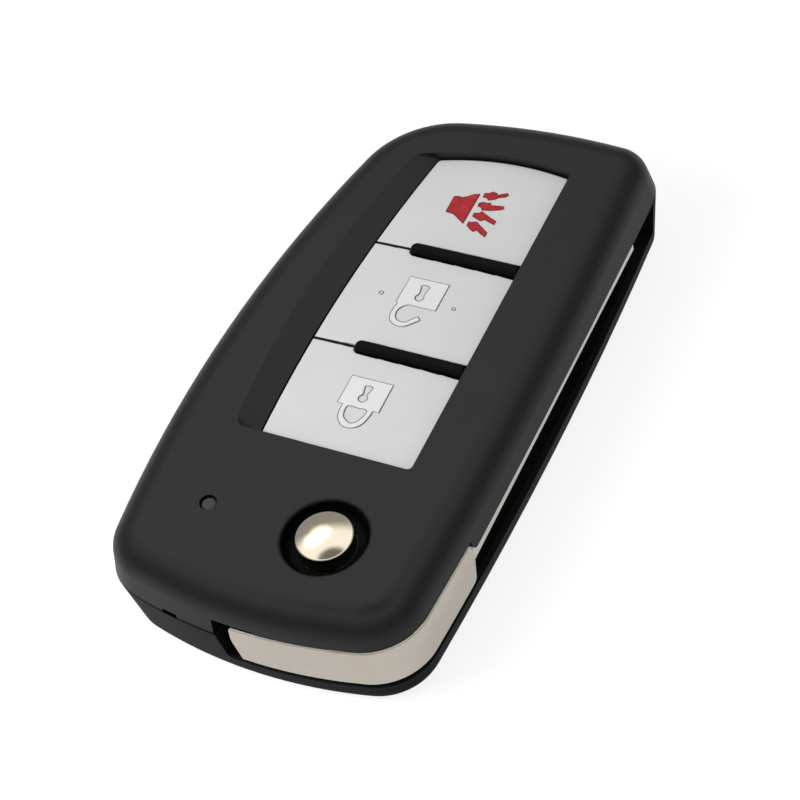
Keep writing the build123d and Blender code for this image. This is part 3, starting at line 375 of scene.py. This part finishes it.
def smooth(points, closed=True):
    """Rounded line through the points."""
    count = len(points)
    result = []
    for i in range(count if closed else count - 1):
        p0 = points[(i - 1) % count] if closed or i > 0 else points[i]
        p1, p2 = points[i], points[(i + 1) % count]
        p3 = points[(i + 2) % count] if closed or i + 2 < count else p2
        for k in range(SMOOTH_STEPS):
            t = k / SMOOTH_STEPS
            result.append(tuple(
                0.5 * (2 * b + (c - a) * t + (2 * a - 5 * b + 4 * c - d) * t * t
                       + (3 * b - a - 3 * c + d) * t**3)
                for a, b, c, d in zip(p0, p1, p2, p3)))
    if not closed:
        result.append(points[-1])
    return result


def circle(x, y, radius):
    """Ring of points."""
    turns = (k * 2 * math.pi / DOT_POINTS for k in range(DOT_POINTS))
    return [(x + radius * math.cos(turn), y + radius * math.sin(turn)) for turn in turns]


def plate(outer, holes):
    """Thin plate on the key cap with the outline and holes given."""
    curve = bpy.data.curves.new("plate", "CURVE")
    curve.dimensions = "2D"
    curve.fill_mode = "BOTH"
    for loop in [outer, *holes]:
        spline = curve.splines.new("POLY")
        spline.points.add(len(loop) - 1)
        for point, (x, y) in zip(spline.points, loop):
            point.co = (x, y, 0, 1)
        spline.use_cyclic_u = True
    curve.extrude = PLATE_HALF
    holder = bpy.data.objects.new("plate", curve)
    mesh = bpy.data.meshes.new_from_object(holder)
    bpy.data.objects.remove(holder)
    shape = bmesh.new()
    shape.from_mesh(mesh)
    bmesh.ops.remove_doubles(shape, verts=shape.verts, dist=PLATE_WELD)
    for vert in shape.verts:
        vert.co = on_key(vert.co.x, vert.co.y, PLATE_TOP if vert.co.z > 0 else PLATE_FOOT)
    return shape


def line(points, width, top, flat=LINE_FLAT):
    """Closed ridge on the key cap along the points, flat on top over a share of its width."""
    shape = bmesh.new()
    rows = []
    for i, (x, y) in enumerate(points):
        before, after = points[i - 1], points[(i + 1) % len(points)]
        dx, dy = after[0] - before[0], after[1] - before[1]
        size = math.hypot(dx, dy)
        nx, ny = -dy / size * width / 2, dx / size * width / 2
        rows.append([shape.verts.new(on_key(x + nx * side, y + ny * side, lift)) for side, lift in
                     ((-1, LINE_FOOT), (-flat, top), (flat, top), (1, LINE_FOOT))])
    for a, b in zip(rows, rows[1:] + rows[:1]):
        for k in range(3):
            shape.faces.new((a[k], a[k + 1], b[k + 1], b[k]))
        shape.faces.new((a[3], a[0], b[0], b[3]))
    bmesh.ops.remove_doubles(shape, verts=shape.verts, dist=LINE_WELD)
    bmesh.ops.recalc_face_normals(shape, faces=shape.faces)
    return shape


def raised(outer, holes):
    """Pale plate with a line of painted light and shade round its outline and its holes."""
    edges = [(line(loop, LINE_WIDTH, LINE_TOP), symbol_line_light_and_shade) for loop in (outer, *holes)]
    return [(plate(outer, holes), symbol_plate), *edges]


def raised_red(outer, width):
    """Red plate with a line of painted shade round it."""
    return [(plate(outer, ()), panic_red), (line(outer, width, RED_LINE_TOP), panic_edge_shade)]


def piece(name, shapes, body):
    """One object from shapes with their materials."""
    mesh = bpy.data.meshes.new(name)
    whole = bmesh.new()
    mats = []
    for shape, mat in shapes:
        if mat not in mats:
            mats.append(mat)
        for face in shape.faces:
            face.material_index = mats.index(mat)
        part = bpy.data.meshes.new("part")
        shape.to_mesh(part)
        whole.from_mesh(part)
        shape.free()
        bpy.data.meshes.remove(part)
    whole.to_mesh(mesh)
    whole.free()
    for mat in mats:
        mesh.materials.append(mat)
    obj = bpy.data.objects.new(name, mesh)
    bpy.context.scene.collection.objects.link(obj)
    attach(obj, body)
    return obj


lock_bow = smooth([
    (-0.6, -8.05), (-0.55, -9.1), (-0.25, -10.0), (0.45, -10.68), (1.2, -10.85), (2.0, -10.6),
    (2.6, -9.95), (2.88, -9.0), (3.0, -8.05)], closed=False)
lock_body = [(3.65, -8.05), (3.62, -4.25), (-1.25, -4.25), (-1.25, -8.05)] + lock_bow
lock_hole = smooth([
    (0.78, -5.2), (1.62, -5.15), (1.6, -5.75), (1.5, -6.3), (1.72, -6.75), (1.5, -7.2),
    (1.15, -7.32), (0.78, -7.1), (0.68, -6.7), (0.95, -6.3), (0.86, -5.75)])
lock_gap = smooth([
    (0.05, -8.18), (1.2, -8.15), (2.28, -8.15), (2.3, -8.95), (1.9, -9.85), (1.25, -10.2),
    (0.6, -9.9), (0.1, -9.35)])
piece("lock_symbol", raised(lock_body, [lock_hole, lock_gap]), "lock_key")

unlock_outer = smooth([
    (-0.85, 6.35), (-0.98, 5.4), (-0.95, 4.45), (-0.55, 3.75), (0.2, 3.35), (1.05, 3.36),
    (1.75, 3.88), (2.55, 4.7)], closed=False)
unlock_inner = smooth([
    (2.15, 5.12), (1.68, 4.62), (1.2, 4.1), (0.6, 3.95), (0.0, 4.15), (-0.38, 4.7), (-0.42, 5.4),
    (-0.05, 6.05), (0.5, 6.36)], closed=False)
unlock_body = [(3.65, 6.4), (3.65, 10.18), (-1.03, 10.18), (-1.1, 6.38)]
unlock_body += unlock_outer + unlock_inner
unlock_hole = smooth([
    (0.76, 9.3), (1.66, 9.3), (1.62, 8.6), (1.55, 8.05), (1.7, 7.6), (1.45, 7.2), (1.12, 7.12),
    (0.78, 7.32), (0.68, 7.7), (0.9, 8.1), (0.84, 8.7)])
dots = [(line(circle(x, y, radius), DOT_LINE_WIDTH, DOT_TOP, DOT_FLAT), symbol_line_light_and_shade)
        for x, y, radius in DOTS]
piece("unlock_symbol", raised(unlock_body, [unlock_hole]) + dots, "unlock_key")

horn = [(-1.27, 22.35), (-1.25, 20.0), (-0.5, 19.98), (-0.1, 19.85), (0.5, 19.45), (1.33, 18.86),
        (1.4, 23.42), (0.75, 23.15), (0.2, 22.68), (-0.35, 22.42), (-0.9, 22.46)]
bolts = [
    [(1.95, 23.1), (1.92, 23.67), (2.42, 23.8), (2.73, 24.1), (3.22, 24.02), (3.43, 23.79),
     (3.87, 24.05), (4.41, 24.34), (4.6, 24.11), (4.41, 23.84), (3.67, 23.5), (3.28, 23.11),
     (2.72, 22.86), (2.37, 23.15)],
    [(1.93, 21.69), (1.88, 22.12), (2.27, 22.37), (2.83, 22.36), (3.1, 22.5), (3.32, 22.14),
     (3.98, 22.27), (4.76, 22.39), (4.87, 22.07), (4.41, 21.8), (3.45, 21.47), (2.58, 21.3),
     (2.36, 21.66)],
    [(1.97, 20.15), (1.93, 20.63), (2.45, 20.7), (2.74, 21.06), (3.33, 20.73), (4.02, 20.43),
     (4.78, 20.15), (4.8, 19.65), (4.16, 19.85), (3.5, 20.08), (3.09, 19.76), (2.43, 20.0)],
    [(1.9, 18.76), (1.87, 19.26), (2.2, 19.26), (2.71, 19.49), (3.27, 19.11), (4.52, 18.28),
     (4.5, 17.72), (3.86, 18.03), (3.25, 18.41), (2.95, 18.08), (2.38, 18.38)],
]
red = raised_red(horn, HORN_LINE_WIDTH)
for bolt in bolts:
    red += raised_red(bolt, BOLT_LINE_WIDTH)
piece("panic_symbol", red, "panic_key")


# Coil under the release button, drawn anew

SPRING_TURNS = 3.0
SPRING_WIRE = 0.5
SPRING_STEPS = 32
SPRING_SIDES = 10


def coil(low, high, turns, wire):
    """Round wire wound up the box from low to high, with capped ends."""
    middle = [(a + b) / 2 for a, b in zip(low, high)]
    radius = min(high[0] - low[0], high[1] - low[1]) / 2 - wire / 2
    rise = high[2] - low[2] - wire
    pitch = rise / (2 * math.pi * turns)
    around = [2 * math.pi * k / SPRING_SIDES for k in range(SPRING_SIDES)]
    count = int(turns * SPRING_STEPS)
    shape = bmesh.new()
    rings = []
    for i in range(count + 1):
        angle = 2 * math.pi * turns * i / count
        out = Vector((math.cos(angle), math.sin(angle), 0))
        along = Vector((-math.sin(angle) * radius, math.cos(angle) * radius, pitch)).normalized()
        up = along.cross(out)
        level = low[2] + wire / 2 + rise * i / count
        center = Vector((middle[0], middle[1], level)) + out * radius
        rings.append([shape.verts.new(center + (out * math.cos(a) + up * math.sin(a)) * wire / 2)
                      for a in around])
    for first, second in zip(rings, rings[1:]):
        for k in range(SPRING_SIDES):
            after = (k + 1) % SPRING_SIDES
            face = shape.faces.new((first[k], first[after], second[after], second[k]))
            face.smooth = True
    shape.faces.new(rings[0])
    shape.faces.new(list(reversed(rings[-1])))
    bmesh.ops.recalc_face_normals(shape, faces=shape.faces)
    return shape


spring_low, spring_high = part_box("torsion_spring")
spring_shape = coil(spring_low, spring_high, SPRING_TURNS, SPRING_WIRE * MM)
spring = piece("opening_spring", [(spring_shape, wire_steel)], "case")
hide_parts("torsion_spring")
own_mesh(spring)


# Floor and light, in metres and degrees

FLOOR_REACH = 1.2
FLOOR_SQUARES = 4
FLOOR_DROP = 0.00005
FLOOR_COLOR = 0.24
FLOOR_ROUGHNESS = 0.9
FLOOR_SPECULAR = 0.1
# The floor's own glow for the camera, and for metal and glass
FLOOR_SEEN = 0.85
FLOOR_MIRRORED = 0.47

# World light on dull surfaces, and what gloss shows: walls, a ceiling from one upward part of
# the direction to another, and a darker gap straight above
PLAIN_LIGHT = 0.47
WALL_GLOW = 0.3
CEILING_GLOW = 1.13
CEILING_FROM, CEILING_FULL = 0.63, 0.82
GAP_FROM, GAP_FULL = 0.93, 0.96
GAP_SHARE = 0.15
# Directions of the two soft boxes, and the angles from them where one starts to fade and ends
SOFT_BOX_WAYS = [(-0.456, 0.456, 0.763), (-0.50, 0.32, 0.80)]
SOFT_BOX_INNER, SOFT_BOX_OUTER = 5.0, 11.0
SOFT_BOX_GLOW = 0.8

LAMP_PLACE = (-0.09, -0.10, 0.17)
LAMP_AIM = (0, 0.005, 0.01)
LAMP_SIZE = 0.1
LAMP_WATTS = 0.29


def mirror_ray(tree, path):
    """1 for a ray that a glossy or clear surface sends."""
    return math_node(tree, "MAXIMUM", path.outputs["Is Glossy Ray"],
                     path.outputs["Is Transmission Ray"])


def studio_floor():
    """Pale floor that turns nearly white for the camera and keeps the object's shadow."""
    mesh = bpy.data.meshes.new("floor")
    shape = bmesh.new()
    bmesh.ops.create_grid(shape, x_segments=FLOOR_SQUARES, y_segments=FLOOR_SQUARES,
                          size=FLOOR_REACH)
    shape.to_mesh(mesh)
    shape.free()
    obj = bpy.data.objects.new("floor", mesh)
    obj.location = (0, 0, -FLOOR_DROP)
    bpy.context.scene.collection.objects.link(obj)
    mat, tree, shader = new_material("floor")
    shader.inputs["Base Color"].default_value = (FLOOR_COLOR, FLOOR_COLOR, FLOOR_COLOR, 1)
    shader.inputs["Roughness"].default_value = FLOOR_ROUGHNESS
    shader.inputs["Specular IOR Level"].default_value = FLOOR_SPECULAR
    path = tree.nodes.new("ShaderNodeLightPath")
    seen = math_node(tree, "MULTIPLY", path.outputs["Is Camera Ray"], FLOOR_SEEN)
    mirrored = math_node(tree, "MULTIPLY", mirror_ray(tree, path), FLOOR_MIRRORED)
    shader.inputs["Emission Color"].default_value = (1, 1, 1, 1)
    tree.links.new(math_node(tree, "MAXIMUM", seen, mirrored), shader.inputs["Emission Strength"])
    mesh.materials.append(mat)


def soft_lamp():
    """Soft square lamp at the near left, which gloss doesn't show."""
    lamp = bpy.data.lights.new("key_lamp", "AREA")
    lamp.shape = "SQUARE"
    lamp.size = LAMP_SIZE
    lamp.energy = LAMP_WATTS
    obj = bpy.data.objects.new("key_lamp", lamp)
    obj.location = LAMP_PLACE
    way = Vector(LAMP_AIM) - Vector(LAMP_PLACE)
    obj.rotation_euler = way.to_track_quat("-Z", "Y").to_euler()
    obj.visible_glossy = False
    bpy.context.scene.collection.objects.link(obj)


def soft_box(tree, direction, way):
    """Glow of a round soft box that stands in one direction."""
    toward = vector_node(tree, "DOT_PRODUCT", "Value", direction, Vector(way).normalized())
    edge, core = (math.cos(math.radians(angle)) for angle in (SOFT_BOX_OUTER, SOFT_BOX_INNER))
    return step(tree, toward, edge, core, 0.0, SOFT_BOX_GLOW)


def studio_world():
    """Level light, a brighter ceiling and two soft boxes for gloss, and white for the camera."""
    world = bpy.data.worlds.new("studio")
    world.use_nodes = True
    tree = world.node_tree
    tree.nodes.clear()
    out = tree.nodes.new("ShaderNodeOutputWorld")
    back = tree.nodes.new("ShaderNodeBackground")
    path = tree.nodes.new("ShaderNodeLightPath")
    direction = coordinate(tree, "Generated")
    upward = height_of(tree, direction)
    ceiling = step(tree, upward, CEILING_FROM, CEILING_FULL, WALL_GLOW, CEILING_GLOW)
    gap = step(tree, upward, GAP_FROM, GAP_FULL, 1.0, GAP_SHARE)
    boxes = math_node(tree, "MAXIMUM", *(soft_box(tree, direction, way) for way in SOFT_BOX_WAYS))
    gloss = math_node(tree, "ADD", math_node(tree, "MULTIPLY", ceiling, gap), boxes)
    gain = math_node(tree, "MULTIPLY", mirror_ray(tree, path),
                     math_node(tree, "SUBTRACT", gloss, PLAIN_LIGHT))
    level = math_node(tree, "ADD", gain, PLAIN_LIGHT)
    lack = math_node(tree, "MULTIPLY", path.outputs["Is Camera Ray"],
                     math_node(tree, "SUBTRACT", 1.0, level))
    back.inputs["Color"].default_value = (1, 1, 1, 1)
    tree.links.new(math_node(tree, "ADD", level, lack), back.inputs["Strength"])
    tree.links.new(back.outputs["Background"], out.inputs["Surface"])
    bpy.context.scene.world = world


studio_floor()
studio_world()
soft_lamp()


# Camera, fitted to the photograph: its place in metres and the directions of its axes

LENS = 112.5
SENSOR = 36.0
CLIP_START, CLIP_END = 0.01, 10.0
CAMERA_PLACE = (0.108715, -0.138805, 0.213222)
CAMERA_RIGHT = Vector((0.890151, 0.416967, -0.183764))
CAMERA_DOWN = Vector((0.225460, -0.753497, -0.617584))
CAMERA_AHEAD = Vector((-0.395978, 0.508312, -0.764736))

camera_data = bpy.data.cameras.new("camera")
camera_data.lens = LENS
camera_data.sensor_width = SENSOR
camera_data.clip_start = CLIP_START
camera_data.clip_end = CLIP_END
camera = bpy.data.objects.new("camera", camera_data)
turn = Matrix((CAMERA_RIGHT, -CAMERA_DOWN, -CAMERA_AHEAD)).transposed()
camera.matrix_world = Matrix.Translation(CAMERA_PLACE) @ turn.to_4x4()
bpy.context.scene.collection.objects.link(camera)
bpy.context.scene.camera = camera
bpy.context.scene.view_settings.view_transform = "Standard"
